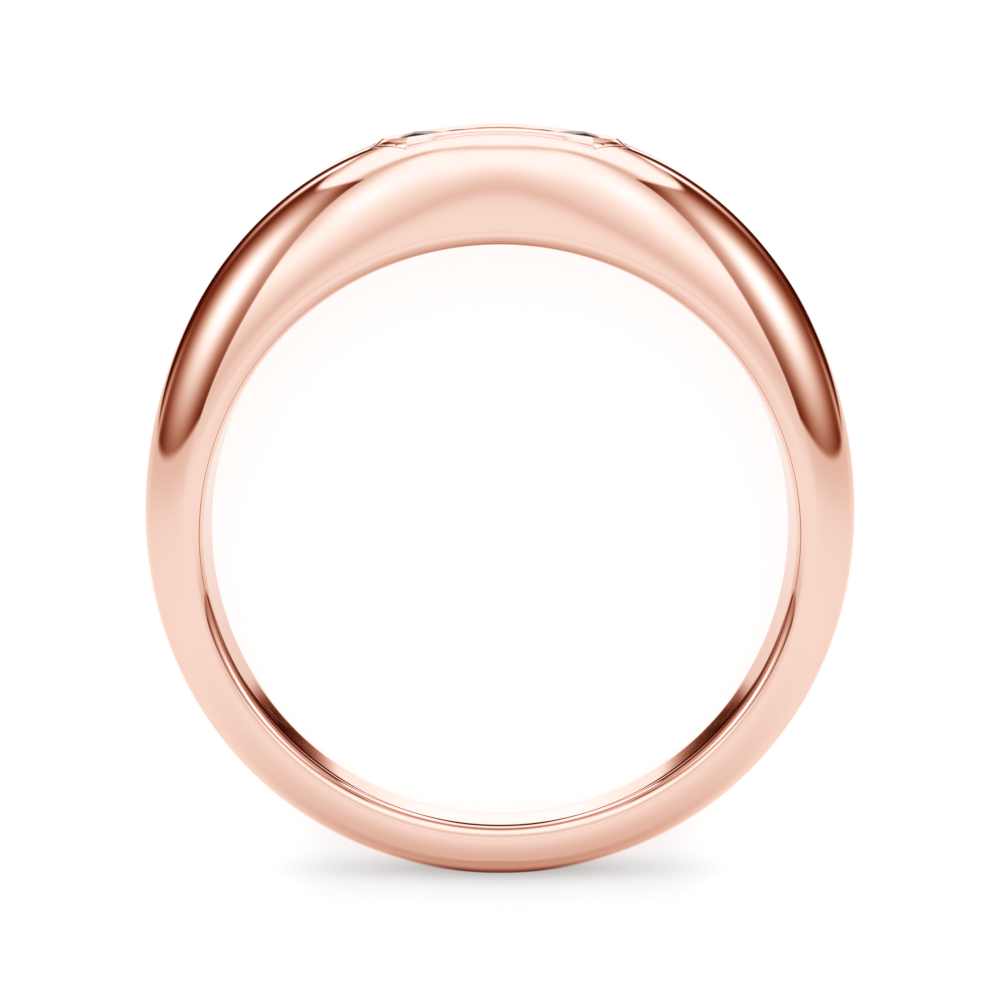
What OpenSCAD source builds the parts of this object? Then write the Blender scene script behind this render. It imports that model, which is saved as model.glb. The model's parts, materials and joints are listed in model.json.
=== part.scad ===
// A domed ring that tapers from a wide top to a narrow back, with one long octagonal step-cut
// stone set along the band in a low bezel. Millimetres.
//
// The ring is drawn upright first: X across it, Y up to the stone and Z along the finger, with the
// middle of the finger hole at the origin. place() then lays it on its side, as it rests by itself:
// the wide top lifts the middle plane towards the stone. The stone points to +Y, the surface is Z 0.

/* [Finger hole] */
// Radius of the finger hole, 8.65 for a hole of 17.3 across
bore_r = 8.65; // [8.2:0.05:9.4]
// Radial reach of the rounded edge of the hole
edge_rise = 0.27; // [0.2:0.01:0.35]
// Reach of the same rounded edge along the finger
edge_run = 0.4; // [0.25:0.01:0.5]

/* [Band] */
// Half the width of the band under the stone
half_w_top = 4.0; // [3.6:0.05:4.4]
// Half the width at the sides
half_w_side = 2.35; // [2.1:0.05:2.6]
// Half the width at the back
half_w_back = 1.3; // [1.1:0.05:1.5]
// Wall at the back, from the hole to the crest
wall_back = 1.61; // [1.4:0.01:1.9]
// Slow growth of the wall from the back to the stone
wall_growth = 0.15; // [0:0.01:0.3]
// Rise of the shoulders to the stone
shoulder_rise = 1.67; // [1.5:0.01:1.8]
// Angle from the stone at which the shoulder has lost most of its rise
shoulder_angle = 58; // [50:1:64]
// How abruptly the shoulder falls there
shoulder_power = 2.5; // [2:0.1:3]
// Flatness of the crest under the stone, where 2 is an ellipse
crest_flat_top = 5.2; // [4:0.1:6]
// Flatness of the crest at the back
crest_flat_back = 1.8; // [1.6:0.1:2.4]
// How quickly the flatness fades away from the stone
crest_fade = 2.4; // [1.5:0.1:3]
// Fullness of the flanks, where 2 is an ellipse
flank_full = 1.65; // [1.5:0.05:2]

/* [Bezel] */
// Length of the bezel across the ring
bezel_len = 7.36; // [7.2:0.02:7.5]
// Width of the bezel along the finger
bezel_w = 5.56; // [5.4:0.02:5.7]
// Cut of each corner of the bezel
bezel_corner = 1.0; // [0.8:0.05:1.2]
// Width of the rim around the opening
rim_w = 0.26; // [0.22:0.01:0.3]
// Height of the middle of the rim above the hole's wall
rim_height = 3.31; // [3.25:0.01:3.4]
// How far the rim would fall at its ends, far beyond its reach
rim_fall = 0.6; // [0.5:0.01:0.7]
// Distance from the middle over which most of that fall takes place
rim_reach = 3.45; // [3.2:0.05:3.8]
// Drop of the rim's top from its crest to its outer edge
rim_drop = 0.14; // [0.08:0.01:0.16]
// Width of the bright bevel on the rim's inner edge
rim_bevel = 0.1; // [0.06:0.01:0.12]
// Height of the same bevel
rim_bevel_h = 0.14; // [0.1:0.01:0.16]

/* [Stone] */
// How far the girdle reaches under the rim
girdle_hold = 0.06; // [0.04:0.01:0.08]
// Clearance around the stone in its seat
seat_gap = 0.05; // [0.03:0.01:0.08]
// Height of the table above the hole's wall
table_height = 3.11; // [3.05:0.01:3.15]
// Height of the crown
crown_h = 0.5; // [0.4:0.01:0.55]
// Thickness of the girdle
girdle_h = 0.1; // [0.06:0.01:0.14]
// Depth of the pavilion
pavilion_h = 1.5; // [1.3:0.01:1.6]

/* [Hidden] */
rose_gold = [0.90, 0.66, 0.56];
clear_stone = [0.93, 0.95, 0.97];

sections = 120; // around the ring
flank_steps = 8; // from the edge of the hole to the crest
edge_steps = 3; // over the rounded edge of the hole
rim_steps = 8; // along the curve of the rim
inside = 0.4; // how far the swept body reaches into the hole, before the hole is cut
through = 30; // longer than any cut
root_y = bore_r + 1.4; // where the bezel's walls end inside the band

// Width of the band: a wave through the widths at the stone, the sides and the back
mean_w = (half_w_top + half_w_back + 2 * half_w_side) / 4;
taper_w = (half_w_top - half_w_back) / 2;
waist_w = (half_w_top + half_w_back) / 2 - mean_w;
function half_w(a) = mean_w + taper_w * cos(a) + waist_w * cos(2 * a);

// Crest of the band: the wall outside the hole, with a = 0 at the stone and 180 at the back
function from_stone(a) = a > 180 ? 360 - a : a;
function crest_r(a) = bore_r + wall_back + wall_growth * cos(from_stone(a) / 2)
    + shoulder_rise * exp(-pow(from_stone(a) / shoulder_angle, shoulder_power));
function crest_flat(a) = crest_flat_back
    + (crest_flat_top - crest_flat_back) * pow((1 + cos(a)) / 2, crest_fade);

// One side of the section at angle a, as [radius, z], from the crest down to inside the hole
edge_r = bore_r + edge_rise;
function flank(a) = [for (i = [0:flank_steps])
    let (p = 90 * (1 - i / flank_steps))
    [edge_r + (crest_r(a) - edge_r) * pow(sin(p), 2 / flank_full),
     half_w(a) * pow(cos(p), 2 / crest_flat(a))]];
function edge(a) = [for (i = [1:edge_steps])
    let (p = 75 * i / edge_steps)
    [edge_r - edge_rise * sin(p), half_w(a) - edge_run * (1 - cos(p))]];
function lip(a) = [[bore_r - inside, half_w(a) - edge_run - 0.6 * inside]];
function half_section(a) = concat(flank(a), edge(a), lip(a));
function flipped(pts) = [for (i = [len(pts) - 1:-1:1]) [pts[i][0], -pts[i][1]]];
function section(a) = concat(half_section(a), flipped(half_section(a)));
function around(a) = [for (p = section(a)) [p[0] * sin(a), p[0] * cos(a), p[1]]];

band_rings = [for (i = [0:sections - 1]) around(360 * i / sections)];

// A row of rings with equal counts of points, joined into one skin
function joined(rings) = [for (r = rings, p = r) p];
function skin(n, rings, closed) = [
    for (i = [0:rings - (closed ? 1 : 2)], j = [0:n - 1])
    let (k = (i + 1) % rings, m = (j + 1) % n)
    each [[i * n + j, k * n + j, k * n + m], [i * n + j, k * n + m, i * n + m]]];

module swept_band() {
    n = len(band_rings[0]);
    polyhedron(points = joined(band_rings), faces = skin(n, sections, true));
}

// Long octagon with cut corners, half_l along X and half_d along Z, as stations [x, half depth]
function stations(half_l, half_d, corner, steps) = concat(
    [[-half_l, half_d - corner]],
    [for (i = [0:steps]) [(half_l - corner) * (2 * i / steps - 1), half_d]],
    [[half_l, half_d - corner]]);
// Corner cut of the same octagon moved inwards by d, so that its walls stay parallel
function inner_corner(corner, d) = corner - d * (2 - sqrt(2));
// One ring of a loft. Its height is flat at y, or follows the rim's curve, lowered by y
function ring(st, y, curved) = concat(
    [for (s = st) [s[0], curved ? rim_y(s[0]) - y : y, s[1]]],
    [for (i = [len(st) - 1:-1:0]) [st[i][0], curved ? rim_y(st[i][0]) - y : y, -st[i][1]]]);
function strip(n, first, up) = [for (i = [0:n / 2 - 2])
    let (a = first + i, b = first + i + 1, c = first + n - 2 - i, d = first + n - 1 - i)
    each (up ? [[c, b, a], [d, c, a]] : [[a, b, c], [a, c, d]])];

// Solid from rings that are stacked from the lowest Y to the highest
module loft(rings) {
    n = len(rings[0]);
    last = len(rings) - 1;
    polyhedron(points = joined(rings), faces = concat(
        skin(n, last + 1, false), strip(n, 0, false), strip(n, last * n, true)));
}

rim_top_y = bore_r + rim_height;
function rim_y(x) = rim_top_y - rim_fall * (1 - exp(-pow(x / rim_reach, 2)));

half_bezel_l = bezel_len / 2;
half_bezel_w = bezel_w / 2;
function bezel_outline(d) = stations(
    half_bezel_l - d, half_bezel_w - d, inner_corner(bezel_corner, d), rim_steps);

rim_crest = rim_w - rim_bevel; // from the bezel's wall to the crest of its rim
module bezel_block() {
    loft([
        ring(bezel_outline(0), root_y, false),
        ring(bezel_outline(0), rim_drop, true),
        ring(bezel_outline(rim_crest), 0, true)]);
}

// Outline of the stone, moved outwards by d
function stone_outline(d) = stations(
    half_bezel_l - rim_w + girdle_hold + d, half_bezel_w - rim_w + girdle_hold + d,
    inner_corner(bezel_corner, rim_w - girdle_hold - d), 1);

table_y = bore_r + table_height;
girdle_top_y = table_y - crown_h;
girdle_y = girdle_top_y - girdle_h;
// The crown slopes up under the rim's inner edge, so the rim's underside clears it by one more gap
rim_underside_y = girdle_top_y + 2 * seat_gap;

// The steps of the cut as [inset, corner, share of the height], from the keel to the girdle and
// from the girdle to the table
inset_col = 0;
corner_col = 1;
share_col = 2;
pavilion_steps = [[2.42, 0.1, 1], [1.6, 0.3, 0.8], [0.85, 0.6, 0.48]];
crown_steps = [[0.24, 0.82, 0.4], [0.6, 0.66, 0.76], [0.98, 0.5, 1]];

stone_half_l = half_bezel_l - rim_w + girdle_hold;
stone_half_w = half_bezel_w - rim_w + girdle_hold;
function cut_ring(s, y) = ring(stations(
    stone_half_l - s[inset_col], stone_half_w - s[inset_col], s[corner_col], 1), y, false);

module cut_stone() {
    loft(concat(
        [for (s = pavilion_steps) cut_ring(s, girdle_y - pavilion_h * s[share_col])],
        [ring(stone_outline(0), girdle_y, false)],
        [ring(stone_outline(0), girdle_top_y, false)],
        [for (s = crown_steps) cut_ring(s, girdle_top_y + crown_h * s[share_col])]));
}

// The seat follows the steps of the pavilion, holds the girdle and opens through the bevelled rim
module seat() {
    loft(concat(
        [for (s = pavilion_steps) cut_ring(
            [s[inset_col] - seat_gap, inner_corner(s[corner_col], -seat_gap)],
            girdle_y - pavilion_h * s[share_col] - seat_gap)],
        [ring(stone_outline(seat_gap), girdle_y - seat_gap, false)],
        [ring(stone_outline(seat_gap), rim_underside_y, false)]));
    loft([
        ring(bezel_outline(rim_w), girdle_top_y - seat_gap, false),
        ring(bezel_outline(rim_w), rim_bevel_h, true),
        ring(bezel_outline(rim_crest), 0, true),
        ring(bezel_outline(rim_crest), -through, true)]);
}

module finger_hole() {
    cylinder(r = bore_r, h = through, center = true, $fn = 96);
}

// Rest: the lower side of the band touches the surface under the stone and at the back
rest_tilt = atan((half_w_top - half_w_back) / (2 * edge_r));
function tilted_y(p) = p[1] * cos(rest_tilt) - p[2] * sin(rest_tilt);
function tilted_z(p) = p[1] * sin(rest_tilt) + p[2] * cos(rest_tilt);
rim_edge = [0, rim_top_y, -(half_bezel_w - rim_crest)];
lowest_z = min([for (p = joined(band_rings)) tilted_z(p)]);
back_y = min([for (p = joined(band_rings)) tilted_y(p)]);
front_y = tilted_y(rim_edge);

module place() {
    translate([0, -(back_y + front_y) / 2, -lowest_z])
        rotate([rest_tilt, 0, 0])
            children();
}

module band() {
    color(rose_gold) place() difference() {
        union() {
            swept_band();
            bezel_block();
        }
        finger_hole();
        seat();
    }
}

module stone() {
    color(clear_stone) place() cut_stone();
}

echo(rest_tilt = rest_tilt, bore_y = -(back_y + front_y) / 2, bore_z = -lowest_z);

band();
stone();
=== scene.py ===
"""Looks for the bezel set ring: a smooth polished band with its bezel, the cut stone in it, a pale
floor and a soft studio. Sizes are millimetres in the ring's own frame: X across the ring, Y from the
middle of the finger hole to the stone, Z along the finger. to_row() turns them into the row's frame."""

import json
import math

import bpy
import numpy as np
from mathutils import Matrix, Vector


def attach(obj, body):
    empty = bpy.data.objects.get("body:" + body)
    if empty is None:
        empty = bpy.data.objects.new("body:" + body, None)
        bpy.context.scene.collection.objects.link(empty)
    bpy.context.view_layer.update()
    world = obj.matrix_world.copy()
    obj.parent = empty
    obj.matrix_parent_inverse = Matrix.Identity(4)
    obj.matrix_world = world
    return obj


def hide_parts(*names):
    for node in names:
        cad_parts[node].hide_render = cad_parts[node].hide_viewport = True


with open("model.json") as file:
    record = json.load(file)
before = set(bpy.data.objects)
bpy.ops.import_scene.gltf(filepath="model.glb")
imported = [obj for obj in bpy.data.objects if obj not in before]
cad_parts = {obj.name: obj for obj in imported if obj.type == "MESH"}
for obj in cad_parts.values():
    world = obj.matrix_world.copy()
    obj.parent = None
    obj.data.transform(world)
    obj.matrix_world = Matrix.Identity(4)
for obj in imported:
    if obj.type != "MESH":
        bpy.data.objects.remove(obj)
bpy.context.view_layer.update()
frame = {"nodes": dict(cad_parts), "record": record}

# Finger hole and the rounded edge at its two ends
BORE_R = 8.65
EDGE_RISE = 0.42
EDGE_RUN = 0.42
EDGE_R = BORE_R + 0.27  # where the flank's curve would end if the edge's rounding did not cut it short
ROUNDING_R = BORE_R + EDGE_RISE

# Band
HALF_W_TOP = 4.0
HALF_W_SIDE = 2.35
HALF_W_BACK = 1.3
WALL_BACK = 1.61
WALL_GROWTH = 0.15
SHOULDER_RISE = 1.67
SHOULDER_ANGLE = 58
SHOULDER_POWER = 2.5
CREST_FLAT_TOP = 5.2
CREST_FLAT_BACK = 1.8
CREST_FADE = 2.4
FLANK_FULL = 1.65
MEAN_W = (HALF_W_TOP + HALF_W_BACK + 2 * HALF_W_SIDE) / 4
TAPER_W = (HALF_W_TOP - HALF_W_BACK) / 2
WAIST_W = (HALF_W_TOP + HALF_W_BACK) / 2 - MEAN_W

# Bezel
HALF_BEZEL_L = 3.68
HALF_BEZEL_W = 2.78
BEZEL_CORNER = 1.0
BEZEL_ROOT_Y = 10.05
CORNER_SOFT = 0.035  # reach of the rounding of each corner
CUT_BOW = 0.06  # how far the corner cuts bulge
WALL_DRAFT = 0.04  # how much wider the bezel is at its foot
FOOT_FILLET = 0.05
FILLET_SHARE = 0.4  # the most of the wall's height that the fillet takes
SINK = 0.002  # the fillet starts this far inside the band

# Rim of the bezel
RIM_W = 0.26
RIM_TOP_Y = 11.96
RIM_FALL = 0.6
RIM_REACH = 3.45
RIM_DROP = 0.14  # from its crest to its outer edge
DROP_SHARE = 0.75  # the most of the wall's height that the drop takes
RIM_PLAIN = 1.9  # how nearly its top is a plain slope, where 1 is a full rounding and 2 is plain
END_DROP = 0.1  # how far its two ends fall below its curve
END_DROP_X = 3.4
END_DROP_RUN = 0.22
RIM_BEVEL = 0.1
RIM_BEVEL_H = 0.1
RIM_CREST = RIM_W - RIM_BEVEL  # from the bezel's wall to the crest of its rim

# Stone and its seat
GIRDLE_HOLD = 0.06
SEAT_GAP = 0.05
TABLE_Y = BORE_R + 3.11
CROWN_H = 0.5
GIRDLE_H = 0.1
PAVILION_H = 1.5
PAVILION_STEPS = ((2.42, 0.1, 1), (1.6, 0.3, 0.8), (0.85, 0.6, 0.48))  # inset, corner, share
GIRDLE_TOP_Y = TABLE_Y - CROWN_H
GIRDLE_Y = GIRDLE_TOP_Y - GIRDLE_H
RIM_UNDERSIDE_Y = GIRDLE_TOP_Y + 2 * SEAT_GAP
OPENING_ABOVE = 1  # how far the cut of the opening reaches above the rim

# The ring's frame in the row: the finger hole's mount gives the origin and the axis
mount = frame["record"]["mounts"][0]
AXIS_Z = Vector(mount["axis"]).normalized()
AXIS_X = Vector((1, 0, 0))
AXIS_Y = AXIS_Z.cross(AXIS_X)
CENTRE = Vector(mount["pos_m"])
MM = 0.001


def to_row(points):
    """Rows of x, y, z in millimetres of the ring's frame, as metres in the row's frame"""
    turn = np.array([AXIS_X, AXIS_Y, AXIS_Z])
    return np.asarray(points, float) @ turn * MM + np.array(CENTRE)


# Form of the band, by the angle around the finger from the stone
def half_w(a):
    return MEAN_W + TAPER_W * np.cos(a) + WAIST_W * np.cos(2 * a)


def from_stone(a):
    return np.abs((a + np.pi) % (2 * np.pi) - np.pi)


def crest_r(a):
    d = from_stone(a)
    fall = np.exp(-((np.degrees(d) / SHOULDER_ANGLE) ** SHOULDER_POWER))
    return BORE_R + WALL_BACK + WALL_GROWTH * np.cos(d / 2) + SHOULDER_RISE * fall


def crest_flat(a):
    return CREST_FLAT_BACK + (CREST_FLAT_TOP - CREST_FLAT_BACK) * ((1 + np.cos(a)) / 2) ** CREST_FADE


def mesh_object(name, points, faces):
    mesh = bpy.data.meshes.new(name)
    mesh.from_pydata([tuple(p) for p in to_row(points)], [], faces)
    mesh.update()
    obj = bpy.data.objects.new(name, mesh)
    bpy.context.scene.collection.objects.link(obj)
    return obj


# Band: sections around the finger, from the crest over one flank, the edge and the bore, and back
SECTIONS = 600
FLANK_STEPS = 40
FLANK_CROWD = 1.2  # how much closer together its points lie towards the edge
EDGE_STEPS = 20
BORE_STEPS = 10
FAR = 20.0  # beyond every point of the ring
HALVINGS = 50  # of the range in which a point is searched


def rounding_w(a):
    """Half width where the edge's rounding starts"""
    share = (ROUNDING_R - EDGE_R) / (crest_r(a) - EDGE_R)
    return half_w(a) * (1 - share**FLANK_FULL) ** (1 / crest_flat(a))


def flank_curve(a):
    """Radius and half width from the crest down to the edge, by the angle seen from the section's foot"""
    wide, high, flat = half_w(a), crest_r(a) - EDGE_R, crest_flat(a)
    foot = np.arctan2(ROUNDING_R - EDGE_R, rounding_w(a))[:, None]
    seen = foot + (np.pi / 2 - foot) * np.linspace(1, 0, FLANK_STEPS + 1)[1:-1] ** FLANK_CROWD
    low, far = np.zeros(seen.shape), np.full(seen.shape, FAR)
    for _ in range(HALVINGS):
        reach = (low + far) / 2
        w = (reach * np.cos(seen) / wide[:, None]) ** flat[:, None]
        h = (reach * np.sin(seen) / high[:, None]) ** FLANK_FULL
        outside = w + h > 1
        far = np.where(outside, reach, far)
        low = np.where(outside, low, reach)
    return EDGE_R + low * np.sin(seen), low * np.cos(seen)


def band_points():
    a = np.linspace(0, 2 * np.pi, SECTIONS, endpoint=False)
    wide, crest = rounding_w(a), crest_r(a)
    r, w = flank_curve(a)
    p = np.linspace(0, np.pi / 2, EDGE_STEPS + 1)
    edge = np.stack([np.broadcast_to(ROUNDING_R - EDGE_RISE * np.sin(p), (len(a), len(p))),
                     wide[:, None] - EDGE_RUN * (1 - np.cos(p))], -1)
    side = np.concatenate([np.stack([r, w], -1), edge], 1)
    t = np.linspace(1, -1, BORE_STEPS + 1)[1:-1]
    bore = np.stack([np.full((len(a), len(t)), BORE_R), (wide - EDGE_RUN)[:, None] * t], -1)
    other = side[:, ::-1] * np.array([1, -1])
    top = np.stack([crest, 0 * crest], -1)[:, None]
    ring = np.concatenate([top, side, bore, other], 1)
    radius, z = ring[..., 0], ring[..., 1]
    return np.stack([radius * np.sin(a)[:, None], radius * np.cos(a)[:, None], z], -1)


def swept_band():
    rings = band_points()
    count, n = rings.shape[:2]
    faces = []
    for i in range(count):
        k = (i + 1) % count
        for j in range(n):
            m = (j + 1) % n
            faces.append((i * n + j, i * n + m, k * n + m, k * n + j))
    return mesh_object("band_metal", rings.reshape(-1, 3), faces)


def surface_y(x, z):
    """Height of the band's outer surface over each x and z of the ring's frame"""
    low, high = np.full(x.shape, EDGE_R), np.full(x.shape, FAR)
    for _ in range(HALVINGS):
        y = (low + high) / 2
        a = np.arctan2(x, y)
        across = (np.abs(z) / half_w(a)) ** crest_flat(a)
        along = ((np.hypot(x, y) - EDGE_R) / (crest_r(a) - EDGE_R)) ** FLANK_FULL
        outside = across + along > 1
        high = np.where(outside, y, high)
        low = np.where(outside, low, y)
    return low


# Bezel: a block with its rim, and the cuts for the stone
CORNER_STEPS = 4
SIDE_STEPS = 56
CUT_STEPS = 12
ROUND_STEPS = 7  # in the fillet, and over the rim


def octagon(half_l, half_d, corner):
    """Corners of a long octagon in X and Z. Its corner cuts start at the even corners"""
    return [Vector(p) for p in (
        (half_l, half_d - corner), (half_l - corner, half_d), (corner - half_l, half_d),
        (-half_l, half_d - corner), (-half_l, corner - half_d), (corner - half_l, -half_d),
        (half_l - corner, -half_d), (half_l, corner - half_d))]


def inner_corner(corner, d):
    """Size of the corner cut of an octagon that lies d inside another"""
    return corner - d * (2 - math.sqrt(2))


def rim_y(x):
    end = np.clip((np.abs(x) - END_DROP_X) / END_DROP_RUN, 0, 1)
    fall = RIM_FALL * (1 - np.exp(-((x / RIM_REACH) ** 2)))
    return RIM_TOP_Y - fall - END_DROP * end * end * (3 - 2 * end)


def loft(name, rings):
    """Closed solid from rings of equal length, stacked upwards, with flat fans at both ends"""
    n = len(rings[0])
    points = [p for ring in rings for p in ring]
    faces = []
    for i in range(len(rings) - 1):
        for j in range(n):
            k = (j + 1) % n
            faces.append((i * n + j, (i + 1) * n + j, (i + 1) * n + k, i * n + k))
    for first, flip in ((0, False), ((len(rings) - 1) * n, True)):
        ring = points[first:first + n]
        middle = len(points)
        points.append(tuple(sum(p[c] for p in ring) / n for c in range(3)))
        for j in range(n):
            a, b = first + j, first + (j + 1) % n
            faces.append((b, a, middle) if flip else (a, b, middle))
    return mesh_object(name, points, faces)


def bezel_outline(inset):
    """Outline of the bezel, moved inwards, as rows of x and z. The opening's cuts are straight"""
    corners = octagon(HALF_BEZEL_L - inset, HALF_BEZEL_W - inset, inner_corner(BEZEL_CORNER, inset))
    bow = CUT_BOW * min(1 - inset / RIM_W, 1)

    def on_side(i, t):
        here, after = corners[i % 8], corners[(i + 1) % 8]
        outward = Vector((after.y - here.y, here.x - after.x)).normalized()
        return here.lerp(after, t) + outward * (bow * 4 * t * (1 - t) if i % 2 == 0 else 0)

    out = []
    for i, here in enumerate(corners):
        side = (corners[(i + 1) % 8] - here).length
        last = (here - corners[i - 1]).length
        start, end = on_side(i + 7, 1 - CORNER_SOFT / last), on_side(i, CORNER_SOFT / side)
        for k in range(CORNER_STEPS):
            t = k / CORNER_STEPS
            out.append((1 - t) ** 2 * start + 2 * t * (1 - t) * here + t * t * end)
        steps = CUT_STEPS if i % 2 == 0 else SIDE_STEPS
        first, stop = CORNER_SOFT / side, 1 - CORNER_SOFT / side
        out += [on_side(i, first + (stop - first) * k / steps) for k in range(steps)]
    return np.array(out)


def placed(flat, y):
    """Ring of a loft from an outline and its height"""
    x, z = flat.T
    return np.stack([x, y + 0 * x, z], -1)


def bezel_block():
    """From its foot inside the band over the fillet and the wall to the crest of the rim"""
    rings = [placed(bezel_outline(-WALL_DRAFT - FOOT_FILLET), BEZEL_ROOT_Y)]
    quarter = [math.radians(90 * i / ROUND_STEPS) for i in range(ROUND_STEPS + 1)]
    for t in quarter:
        flat = bezel_outline(-WALL_DRAFT - FOOT_FILLET * (1 - math.sin(t)))
        foot = surface_y(*flat.T)
        rise = np.minimum(FOOT_FILLET, FILLET_SHARE * (rim_y(flat[:, 0]) - foot)) * (1 - math.cos(t))
        rings.append(placed(flat, foot - SINK + rise))
    for t in quarter:
        flat = bezel_outline(RIM_CREST * (1 - math.cos(t) ** RIM_PLAIN))
        top = rim_y(flat[:, 0])
        drop = np.minimum(RIM_DROP, DROP_SHARE * (top - surface_y(*flat.T)))
        rings.append(placed(flat, top - drop * (1 - math.sin(t) ** RIM_PLAIN)))
    return loft("bezel_block", rings)


def seat_ring(inset, corner, y):
    half_l = HALF_BEZEL_L - RIM_W + GIRDLE_HOLD - inset
    half_d = HALF_BEZEL_W - RIM_W + GIRDLE_HOLD - inset
    return [(p.x, y, p.y) for p in octagon(half_l, half_d, corner)]


def girdle_ring(out, y):
    return seat_ring(-out, inner_corner(BEZEL_CORNER, RIM_W - GIRDLE_HOLD - out), y)


def seat_cuts():
    """The room for the stone, and the opening with its bright bevel"""
    lower = [seat_ring(inset - SEAT_GAP, inner_corner(corner, -SEAT_GAP),
                       GIRDLE_Y - PAVILION_H * share - SEAT_GAP)
             for inset, corner, share in PAVILION_STEPS]
    lower += [girdle_ring(SEAT_GAP, GIRDLE_Y - SEAT_GAP), girdle_ring(SEAT_GAP, RIM_UNDERSIDE_Y)]
    inner, crest = bezel_outline(RIM_W), bezel_outline(RIM_CREST)
    opening = [placed(inner, GIRDLE_TOP_Y - SEAT_GAP), placed(inner, rim_y(inner[:, 0]) - RIM_BEVEL_H),
               placed(crest, rim_y(crest[:, 0])), placed(crest, rim_y(crest[:, 0]) + OPENING_ABOVE)]
    return [loft("seat", lower), loft("opening", opening)]


def cut(target, tool, operation):
    step = target.modifiers.new(operation.lower(), "BOOLEAN")
    step.operation = operation
    step.object = tool
    step.solver = "MANIFOLD"
    bpy.context.view_layer.objects.active = target
    bpy.ops.object.modifier_apply(modifier=step.name)
    bpy.data.objects.remove(tool)


SHARP_FROM = math.radians(28)  # edges that turn by more than this stay sharp

band = swept_band()
cut(band, bezel_block(), "UNION")
for tool in seat_cuts():
    cut(band, tool, "DIFFERENCE")
band.data.shade_smooth()
band.data.set_sharp_from_angle(angle=SHARP_FROM)

# Materials. A gloss is the least and the greatest roughness. A relief is layers of noise, each with its
# scale in features per metre, its detail, its strength and its depth in metres
GOLD = (0.93, 0.673, 0.577, 1)
GOLD_GRAZING = (1, 0.86, 0.8, 1)  # its tint towards the ring's outline
GOLD_GLOSS = (0.02, 0.045)
GOLD_GLOSS_NOISE = (1800, 3)
GOLD_RELIEF = ((600, 2, 0.01, 0.00002), (4000, 4, 0.02, 0.000004))
STONE_IOR = 2.42
STONE_CLEAR = 0.95
STONE_GLOSS = (0.03, 0.07)
STONE_GLOSS_NOISE = (2500, 2)
STONE_RELIEF = ((5000, 3, 0.02, 0.000003),)
FLOOR_GREY = (0.3, 0.3, 0.3, 1)
FLOOR_SHINE = 0.1
FLOOR_GLOSS = (0.85, 0.95)
FLOOR_GLOSS_NOISE = (3000, 3)
FLOOR_RELIEF = ((3000, 3, 0.1, 0.00002),)
NOISE_RANGE = (0.35, 0.65)  # the part of a noise's values that the gloss follows
WHITE = (1, 1, 1, 1)


def new_material(name):
    material = bpy.data.materials.new(name)
    material.use_nodes = True
    nodes = material.node_tree.nodes
    return material, nodes, material.node_tree.links, nodes["Principled BSDF"]


def noise(nodes, links, scale, detail):
    """Value of a noise over the object"""
    place = nodes.new("ShaderNodeTexCoord")
    field = nodes.new("ShaderNodeTexNoise")
    field.inputs["Scale"].default_value = scale
    field.inputs["Detail"].default_value = detail
    links.new(place.outputs["Object"], field.inputs["Vector"])
    return field.outputs["Fac"]


def relief(nodes, links, shader, layers):
    normal = None
    for scale, detail, strength, depth in layers:
        bump = nodes.new("ShaderNodeBump")
        bump.inputs["Strength"].default_value = strength
        bump.inputs["Distance"].default_value = depth
        links.new(noise(nodes, links, scale, detail), bump.inputs["Height"])
        if normal:
            links.new(normal, bump.inputs["Normal"])
        normal = bump.outputs["Normal"]
    links.new(normal, shader.inputs["Normal"])


def gloss(nodes, links, shader, value, roughness):
    """Roughness that varies with a noise"""
    spread = nodes.new("ShaderNodeMapRange")
    names = "From Min", "From Max", "To Min", "To Max"
    for name, limit in zip(names, (*NOISE_RANGE, *roughness)):
        spread.inputs[name].default_value = limit
    links.new(value, spread.inputs["Value"])
    links.new(spread.outputs["Result"], shader.inputs["Roughness"])


def rose_gold():
    """High polish: faint waves of the buffing wheel, finer wiping marks and a slightly uneven gloss"""
    material, nodes, links, shader = new_material("rose_gold_polished")
    shader.inputs["Base Color"].default_value = GOLD
    shader.inputs["Metallic"].default_value = 1.0
    shader.inputs["Specular Tint"].default_value = GOLD_GRAZING
    gloss(nodes, links, shader, noise(nodes, links, *GOLD_GLOSS_NOISE), GOLD_GLOSS)
    relief(nodes, links, shader, GOLD_RELIEF)
    return material


def clear_stone():
    """Colourless cut stone, with the fine marks of its polishing on the facets"""
    material, nodes, links, shader = new_material("stone_clear")
    shader.inputs["Base Color"].default_value = WHITE
    shader.inputs["IOR"].default_value = STONE_IOR
    shader.inputs["Transmission Weight"].default_value = STONE_CLEAR
    gloss(nodes, links, shader, noise(nodes, links, *STONE_GLOSS_NOISE), STONE_GLOSS)
    relief(nodes, links, shader, STONE_RELIEF)
    return material


band.data.materials.clear()
band.data.materials.append(rose_gold())
stone = frame["nodes"]["stone"]
stone.data.materials.clear()
stone.data.materials.append(clear_stone())


# Arithmetic with shader nodes, for the floor and the studio
class Term:
    """A number in a shader that varies with the place or the direction"""

    tree = None  # the node tree that is being built

    def __init__(self, socket):
        self.socket = socket

    def __add__(self, other):
        return maths("ADD", self, other)

    __radd__ = __add__

    def __sub__(self, other):
        return maths("SUBTRACT", self, other)

    def __rsub__(self, other):
        return maths("SUBTRACT", other, self)

    def __mul__(self, other):
        return maths("MULTIPLY", self, other)

    __rmul__ = __mul__

    def __pow__(self, other):
        return maths("POWER", self, other)


def plug(value, socket):
    if isinstance(value, Term):
        Term.tree.links.new(value.socket, socket)
    else:
        socket.default_value = value


def maths(operation, *values):
    node = Term.tree.nodes.new("ShaderNodeMath")
    node.operation = operation
    for value, socket in zip(values, node.inputs):
        plug(value, socket)
    return Term(node.outputs[0])


def greater(a, b):
    return maths("MAXIMUM", a, b)


def lesser(a, b):
    return maths("MINIMUM", a, b)


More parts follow.
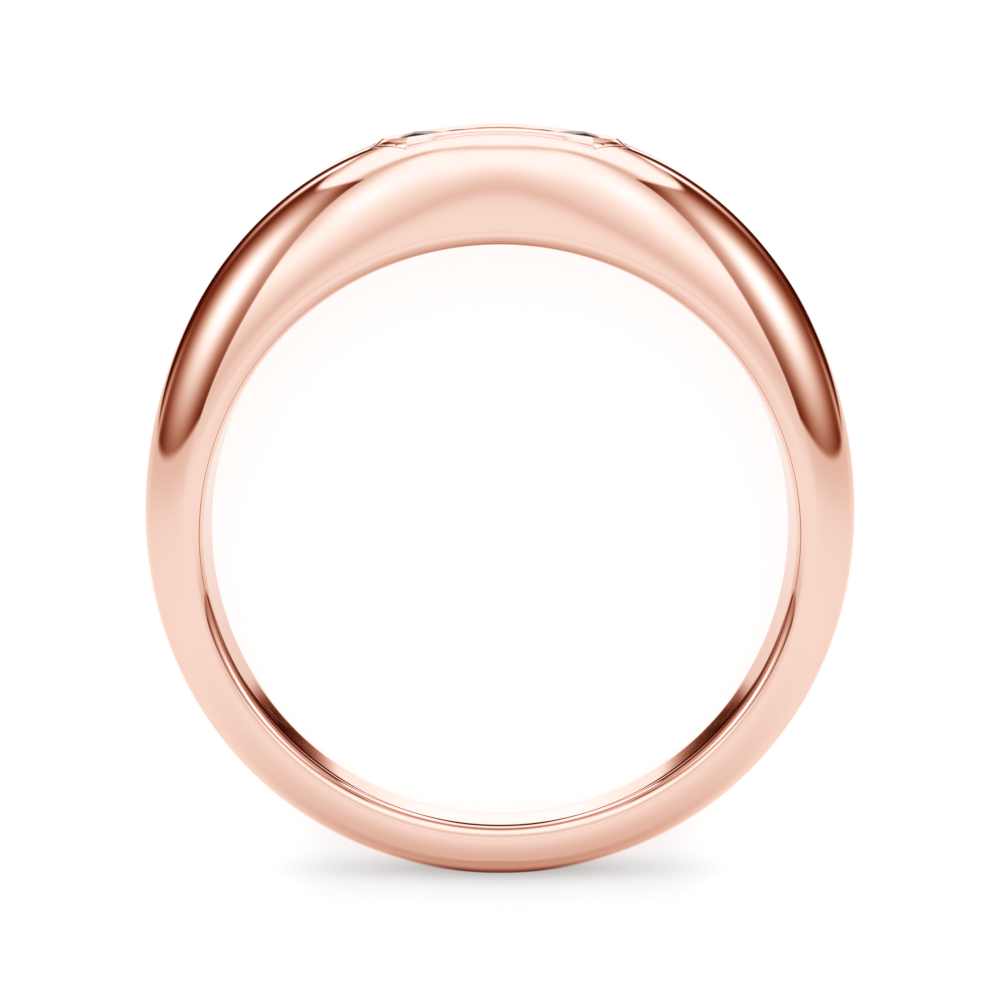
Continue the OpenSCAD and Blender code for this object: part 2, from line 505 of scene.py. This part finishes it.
def smooth(x, a, b):
    """0 below a, 1 above b and a soft step between them"""
    node = Term.tree.nodes.new("ShaderNodeMapRange")
    node.interpolation_type = "SMOOTHSTEP"
    for value, name in ((x, "Value"), (a, "From Min"), (b, "From Max")):
        plug(value, node.inputs[name])
    return Term(node.outputs["Result"])


def fade(x, a, b):
    """1 below a, 0 above b and a soft step between them"""
    return 1 - smooth(x, a, b)


def mix(a, b, share):
    return a + (b - a) * share


def bell(t_squared):
    return maths("POWER", math.exp(-1), t_squared)


def hump(x, centre, width):
    """1 at the centre, fading to either side over about the width"""
    t = (x - centre) * (1 / width)
    return bell(t * t)


def dot(vector, axis):
    node = Term.tree.nodes.new("ShaderNodeVectorMath")
    node.operation = "DOT_PRODUCT"
    Term.tree.links.new(vector, node.inputs[0])
    node.inputs[1].default_value = axis
    return Term(node.outputs["Value"])


# Floor: pale and lit from within, with a painted soft shadow beside the ring's back, where its glow is
# dimmed. The polished ring mirrors the studio instead of the floor, but for a part of that painted
# shadow, which it sees as a painted dark glow. Millimetres from the shade's middle
FLOOR_HALF = 1.5  # metres
FLOOR_GLOW = 0.78
SHADE_Y = -11.1  # the shade's middle in the row's frame
WIDE_SHADE = 0.18
WIDE_SHADE_END = (4.5, 7.8)
WIDE_SHADE_DEPTH = 1.3
CLOSE_SHADE = 0.5
CLOSE_SHADE_HALF = 4.5
CLOSE_SHADE_DEPTH = 0.35
MIRRORED_SHADE = (0.195, 0.067, 0.051, 1)  # painted dark glow that stands in for the shade that the ring mirrors, and its reach
MIRRORED_SHADE_END = (1, 4)
MIRRORED_SHADE_BACK = (1, 2.2)
MIRRORED_SHADE_FRONT = (0, 0.5)


def pale_floor():
    material, nodes, links, shader = new_material("floor_pale")
    Term.tree = material.node_tree
    shader.inputs["Base Color"].default_value = FLOOR_GREY
    shader.inputs["Emission Color"].default_value = WHITE
    shader.inputs["Specular IOR Level"].default_value = FLOOR_SHINE
    gloss(nodes, links, shader, noise(nodes, links, *FLOOR_GLOSS_NOISE), FLOOR_GLOSS)
    relief(nodes, links, shader, FLOOR_RELIEF)
    place = nodes.new("ShaderNodeSeparateXYZ")
    links.new(nodes.new("ShaderNodeTexCoord").outputs["Object"], place.inputs["Vector"])
    aside = maths("ABSOLUTE", Term(place.outputs["X"])) * (1 / MM)
    away = Term(place.outputs["Y"]) * (1 / MM) - SHADE_Y
    # Painted shadow: the floor's glow is dimmed beside the ring's back, in a wide soft part and a close
    # darker part
    shade = WIDE_SHADE * fade(aside, *WIDE_SHADE_END) * hump(away, 0, WIDE_SHADE_DEPTH)
    shade = shade + CLOSE_SHADE * hump(aside, 0, CLOSE_SHADE_HALF) * hump(away, 0, CLOSE_SHADE_DEPTH)
    plug(FLOOR_GLOW * (1 - shade), shader.inputs["Emission Strength"])
    # Painted reflection of shade: glossy rays see a dark glow near the ring's back, and elsewhere pass
    # through the floor to the studio
    clear = nodes.new("ShaderNodeBsdfTransparent")
    dark = nodes.new("ShaderNodeEmission")
    dark.inputs["Color"].default_value = MIRRORED_SHADE
    painted_shade_cover = fade(aside, *MIRRORED_SHADE_END) * fade(0 - away, *MIRRORED_SHADE_BACK) * fade(away, *MIRRORED_SHADE_FRONT)
    mirrored, seen = nodes.new("ShaderNodeMixShader"), nodes.new("ShaderNodeMixShader")
    plug(painted_shade_cover, mirrored.inputs["Fac"])
    links.new(clear.outputs["BSDF"], mirrored.inputs[1])
    links.new(dark.outputs["Emission"], mirrored.inputs[2])
    links.new(nodes.new("ShaderNodeLightPath").outputs["Is Glossy Ray"], seen.inputs["Fac"])
    links.new(shader.outputs["BSDF"], seen.inputs[1])
    links.new(mirrored.outputs["Shader"], seen.inputs[2])
    links.new(seen.outputs["Shader"], nodes["Material Output"].inputs["Surface"])
    return material


corners = [(x * FLOOR_HALF, y * FLOOR_HALF, 0) for x, y in ((-1, -1), (1, -1), (1, 1), (-1, 1))]
floor_mesh = bpy.data.meshes.new("floor")
floor_mesh.from_pydata(corners, [], [(0, 1, 2, 3)])
floor_obj = bpy.data.objects.new("floor", floor_mesh)
bpy.context.scene.collection.objects.link(floor_obj)
floor_obj.data.materials.append(pale_floor())

# Studio: one formula for the light from each direction. The azimuth goes around the ring's Y, 0 in
# front of the ring and 180 behind it, the elevation towards +Y, both in degrees. A pair of angles says
# where a soft step begins and ends (FROM, END, FOOT, TOP), or a line's middle and width (AZ, EL)

# Ceiling, with a darker line across it
CEILING = 1.06
CEILING_LINE = 0.22
CEILING_LINE_EL = (79.8, 5.6)
CEILING_LINE_END = (61, 81)
# Back wall, with a dark belt, a paler strip under it and a dark thread near the horizon
BACK = 0.97
BACK_FROM = (145, 151)
BACK_TOP = (32, 42)
BELT = 0.93
BELT_FROM = (164, 171)
BELT_FOOT = (13, 17)
BELT_TOP = (44, 58)
STRIP = 0.13
STRIP_FROM = (172, 176)
STRIP_EL = (9.5, 3.5)
THREAD = 0.7
THREAD_FROM = (175.5, 178)
THREAD_EL = (1.8, 1.8)


def ceiling(a, el):
    light = CEILING * (1 - CEILING_LINE * hump(el, *CEILING_LINE_EL) * fade(a, *CEILING_LINE_END))
    light = mix(light, BACK, smooth(a, *BACK_FROM) * fade(el, *BACK_TOP))
    light = light * (1 - BELT * smooth(el, *BELT_FOOT) * fade(el, *BELT_TOP) * smooth(a, *BELT_FROM))
    light = light * (1 + STRIP * smooth(a, *STRIP_FROM) * hump(el, *STRIP_EL))
    return light * (1 - THREAD * smooth(a, *THREAD_FROM) * hump(el, *THREAD_EL))


# Opening in front of the ring: a low pale hill, and the light that grows above it
HILL = 0.9
HILL_BASE = -4.4
HILL_H = 35.7
HILL_WIDE = 21.5
HILL_EDGE = (-9, 0)
HILL_LINE = 0.1
HILL_LINE_EL = (-0.5, 8)
HILL_LINE_END = (52, 67)
FRONT_LOW = 0.85
FRONT_MID = 0.94
FRONT_SIDE = 1.22
FRONT_SIDE_FROM = (15, 38)
FRONT_TOP = (30, 56)
GROWTH_START = -1
GROWTH_MID = 28.7  # how far above the hill the light is full, in the middle and at the sides
GROWTH_SIDE = 44
GROWTH_FROM = (5, 30)


def front_opening(a, el):
    over = el - (HILL_BASE + HILL_H * hump(a, 0, HILL_WIDE))
    full = mix(mix(FRONT_MID, FRONT_SIDE, smooth(a, *FRONT_SIDE_FROM)), CEILING, smooth(el, *FRONT_TOP))
    growth = mix(GROWTH_MID, GROWTH_SIDE, smooth(a, *GROWTH_FROM))
    light = mix(FRONT_LOW, full, smooth(over, GROWTH_START, growth))
    light = mix(light, HILL, fade(over, *HILL_EDGE))
    return light * (1 - HILL_LINE * hump(over, *HILL_LINE_EL) * fade(a, *HILL_LINE_END))


# Dark panel at each side
PANEL_AZ = 46.3  # its front edge at elevation 0
PANEL_LEAN = 0.0052  # times the square of the elevation
PANEL_END = 170.8  # its far edge at elevation 0
PANEL_END_LEAN = 0.08  # per degree of elevation
PANEL_END_SOFT = 0.55
PANEL_TOP = 56  # elevation of its upper edge
PANEL_TOP_AZ = 65  # from here on the edge falls
PANEL_TOP_LEN = 112  # over so many degrees it would fall to elevation 0
PANEL_TOP_CURVE = 0.48  # 0.5 is a quarter of an ellipse
PANEL_DIP = 2.2  # how far the edge sags on its way down
PANEL_DIP_AZ = (125, 30)
PANEL_SOFT = (-1.5, 1)
PANEL_TOP_SOFT = (-1, 1.5)
PANEL_INNER = 0.25
PANEL_OUTER = 0.39
PANEL_OUTER_FROM = (111, 125)
PANEL_FAR = 0.035
PANEL_FAR_FROM = (64, 135)
# A wide glow on the panel, a leaning lamp and a dim window
GLOW = 0.955
GLOW_AZ = 73.8
GLOW_EL = 22.3
GLOW_BEFORE, GLOW_BEYOND = 60, 39
GLOW_BELOW, GLOW_ABOVE = 24.7, 35.5
GLOW_SEAM = 1  # over so many degrees to either side its reach changes
LAMP = 1.05
LAMP_AZ = (157.5, 12)
LAMP_EL = (28.5, 9)
LAMP_LEAN = 0.4  # how far it rises per degree of azimuth
WINDOW = 0.635
WINDOW_AZ = (133.5, 7.2)
WINDOW_EL = (2.1, 8.4)
# Darker lines along its front edge, its upper edge and its foot
FRAME = 0.6
FRAME_WIDE = 14
FRAME_GAP = 0.18
FRAME_GAP_EL = (30, 18)
LINTEL = 0.48
LINTEL_WIDE = 8.9
LINTEL_TURN = 1.6  # more than 1, so towards the back the line is bright
LINTEL_TURN_FROM = (65, 110)
SILL = 0.27
SILL_WIDE = 5
SILL_END = (110, 130)


def side_panel(a, el, beyond, top, horizon):
    near = mix(PANEL_INNER, PANEL_OUTER, smooth(a, *PANEL_OUTER_FROM))
    light = mix(near, PANEL_FAR, smooth(a, *PANEL_FAR_FROM))
    right = smooth(a, GLOW_AZ - GLOW_SEAM, GLOW_AZ + GLOW_SEAM)
    up = smooth(el, GLOW_EL - GLOW_SEAM, GLOW_EL + GLOW_SEAM)
    gx = (a - GLOW_AZ) * mix(1 / GLOW_BEFORE, 1 / GLOW_BEYOND, right)
    gy = (el - GLOW_EL) * mix(1 / GLOW_BELOW, 1 / GLOW_ABOVE, up)
    light = light + GLOW * bell(gx * gx + gy * gy)
    light = light + LAMP * hump(a, *LAMP_AZ) * hump(el - LAMP_LEAN * (a - LAMP_AZ[0]), *LAMP_EL)
    light = mix(light, WINDOW, hump(a, *WINDOW_AZ) * hump(el, *WINDOW_EL))
    light = light * (1 - FRAME * hump(beyond, 0, FRAME_WIDE) * (1 - FRAME_GAP * hump(el, *FRAME_GAP_EL)))
    turn = 1 - LINTEL_TURN * smooth(a, *LINTEL_TURN_FROM)
    light = light * (1 - LINTEL * hump(el - top, 0, LINTEL_WIDE) * turn)
    return light * (1 - SILL * hump(el - horizon, 0, SILL_WIDE) * fade(a, *SILL_END))


# Ground below the horizon
GROUND = 0.9
GROUND_LINE = 0.81
GROUND_LINE_END = (0, 11)
GROUND_FAR = 0.71
GROUND_FAR_FROM = (30, 82)
SIDE_DIM = 0.2
SIDE_DIM_FROM = (80, 150)
SIDE_DIM_TOP = (35, 75)
PATCH = 0.4  # a darker patch low behind the ring
PATCH_AZ = (180, 21)
PATCH_TOP = (35, 45)
PATCH_FOOT = (53, 73)
CURB = 0.08  # a faint line under the panel
CURB_WIDE = 11
CURB_FROM = (44, 52)
CURB_END = (130, 150)


def ground(a, el, down):
    low = 0 - el
    light = mix(GROUND_LINE, GROUND, smooth(down, *GROUND_LINE_END))
    light = mix(light, GROUND_FAR, smooth(low, *GROUND_FAR_FROM))
    light = light * (1 - SIDE_DIM * smooth(a, *SIDE_DIM_FROM) * smooth(low, *SIDE_DIM_TOP))
    light = light * (1 - PATCH * hump(a, *PATCH_AZ) * smooth(low, *PATCH_TOP) * fade(low, *PATCH_FOOT))
    return light * (1 - CURB * hump(down, 0, CURB_WIDE) * smooth(a, *CURB_FROM) * fade(a, *CURB_END))


# Where the parts of the studio meet
FRONT_END = (-2.5, 1)
FRONT_UPPER_END = (58, 70)
POST = 0.32  # a darker line up the wall, over the panel's front edge
POST_AZ = (0.8, 14.4)
POST_FOOT = (17, 33)
POST_TOP = (72, 84)
EAVES = 0.35  # a darker line above the panel's falling edge
EAVES_EL = (2, 4)
EAVES_FROM = (120, 150)
EAVES_END = (166, 170)
HORIZON_FRONT = -7.4
HORIZON_SIDE = 1.1
HORIZON_SIDE_FROM = (38, 162)
HORIZON_BACK = -0.7
HORIZON_BACK_FROM = (167, 170)
HORIZON_SOFT_FRONT = 8
HORIZON_SOFT = 1
HORIZON_SOFT_END = (30, 44)


def studio(a, el):
    beyond = a - (PANEL_AZ + PANEL_LEAN * greater(el, 0) ** 2)
    turned = greater(a - PANEL_TOP_AZ, 0) * (1 / PANEL_TOP_LEN)
    top = PANEL_TOP * greater(1 - turned * turned, 0) ** PANEL_TOP_CURVE
    top = top - PANEL_DIP * hump(a, *PANEL_DIP_AZ)
    horizon = mix(HORIZON_FRONT, HORIZON_SIDE, smooth(a, *HORIZON_SIDE_FROM))
    horizon = mix(horizon, HORIZON_BACK, smooth(a, *HORIZON_BACK_FROM))
    front_share = fade(beyond, *FRONT_END) * fade(el, *FRONT_UPPER_END)
    light = mix(ceiling(a, el), front_opening(a, el), front_share)
    light = light * (1 - POST * hump(beyond, *POST_AZ) * smooth(el, *POST_FOOT) * fade(el, *POST_TOP))
    light = light * (1 - EAVES * hump(el - top, *EAVES_EL) * smooth(a, *EAVES_FROM) * fade(a, *EAVES_END))
    end = PANEL_END + PANEL_END_LEAN * el
    panel_share = smooth(beyond, *PANEL_SOFT) * fade(el - top, *PANEL_TOP_SOFT)
    panel_share = panel_share * fade(a, end - PANEL_END_SOFT, end + PANEL_END_SOFT)
    light = mix(light, side_panel(a, el, beyond, top, horizon), panel_share)
    down = horizon - el
    wide = mix(HORIZON_SOFT_FRONT, HORIZON_SOFT, smooth(a, *HORIZON_SOFT_END))
    return mix(light, ground(a, el, down), smooth(down, 0 - wide, wide))


# Dim light is redder than bright light, as in the many reflections between polished pink metal
GREEN_DIM, GREEN_BRIGHT = 1.94, 1.44
BLUE_DIM, BLUE_BRIGHT = 2.42, 2.09
TINT = (1.118, 1.238, 1.305)
LEAST = 0.001  # the studio is nowhere dimmer than this
# What the stone refracts, and a small spot behind the ring, have no colour
EVENED = 0.3  # how far that light is evened out
SPOT_AZ = (180, 2.5)
SPOT_EL = (1.8, 1.8)
# All that is not a reflection sees an even light with a soft lamp overhead
PLAIN = 0.55
OVERHEAD = 1.3
OVERHEAD_FROM = (0.7, 0.95)  # of the direction's upward share

world = bpy.data.worlds.new("studio")
world.use_nodes = True
bpy.context.scene.world = world
Term.tree = world.node_tree
nodes, links = world.node_tree.nodes, world.node_tree.links
direction = nodes.new("ShaderNodeTexCoord").outputs["Generated"]
across, upward, onward = dot(direction, AXIS_X), dot(direction, AXIS_Y), dot(direction, AXIS_Z)
azimuth = maths("ABSOLUTE", maths("ARCTAN2", across, onward)) * math.degrees(1)
elevation = maths("ARCSINE", lesser(greater(upward, -1), 1)) * math.degrees(1)
strength = greater(studio(azimuth, elevation), LEAST)
dim, bright = lesser(strength, 1), greater(strength, 1)
colour = nodes.new("ShaderNodeCombineColor")
plug(strength * TINT[0], colour.inputs["Red"])
plug(dim**GREEN_DIM * bright**GREEN_BRIGHT * TINT[1], colour.inputs["Green"])
plug(dim**BLUE_DIM * bright**BLUE_BRIGHT * TINT[2], colour.inputs["Blue"])
rays = nodes.new("ShaderNodeLightPath")
glossy, refracted = Term(rays.outputs["Is Glossy Ray"]), Term(rays.outputs["Is Transmission Ray"])
neutral = nodes.new("ShaderNodeMix")
neutral.data_type = "RGBA"
plug(greater(refracted, hump(azimuth, *SPOT_AZ) * hump(elevation, *SPOT_EL)), neutral.inputs["Factor"])
links.new(colour.outputs["Color"], neutral.inputs["A"])
plug(mix(strength, 1, EVENED), neutral.inputs["B"])
mirrored = nodes["Background"]
links.new(neutral.outputs["Result"], mirrored.inputs["Color"])
plain = nodes.new("ShaderNodeBackground")
plain.inputs["Color"].default_value = WHITE
overhead = dot(direction, Vector((0, 0, 1)))
plug(PLAIN + OVERHEAD * smooth(overhead, *OVERHEAD_FROM), plain.inputs["Strength"])
choice = nodes.new("ShaderNodeMixShader")
plug(greater(glossy, refracted), choice.inputs["Fac"])
links.new(plain.outputs["Background"], choice.inputs[1])
links.new(mirrored.outputs["Background"], choice.inputs[2])
links.new(choice.outputs["Shader"], nodes["World Output"].inputs["Surface"])

# Camera, at the photo's angle to the ring
VIEW_RISE = math.radians(6.32)
VIEW_FAR = 130
AIM_Y = 0.925
LENS = 158.3
SENSOR_W = 36
NEAREST, FARTHEST = 0.01, 10  # metres
aim = np.array((0, AIM_Y, 0))
back = np.array((0, math.sin(VIEW_RISE), math.cos(VIEW_RISE)))
camera = bpy.data.objects.new("camera", bpy.data.cameras.new("camera"))
bpy.context.scene.collection.objects.link(camera)
backward = AXIS_Y * back[1] + AXIS_Z * back[2]
upright = AXIS_Y * back[2] - AXIS_Z * back[1]
turn = Matrix((AXIS_X, upright, backward)).transposed().to_4x4()
camera.matrix_world = Matrix.Translation(Vector(to_row(aim + VIEW_FAR * back))) @ turn
camera.data.lens = LENS
camera.data.sensor_width = SENSOR_W
camera.data.clip_start = NEAREST
camera.data.clip_end = FARTHEST
bpy.context.scene.camera = camera
bpy.context.scene.view_settings.view_transform = "Standard"

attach(band, "root")
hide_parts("band")
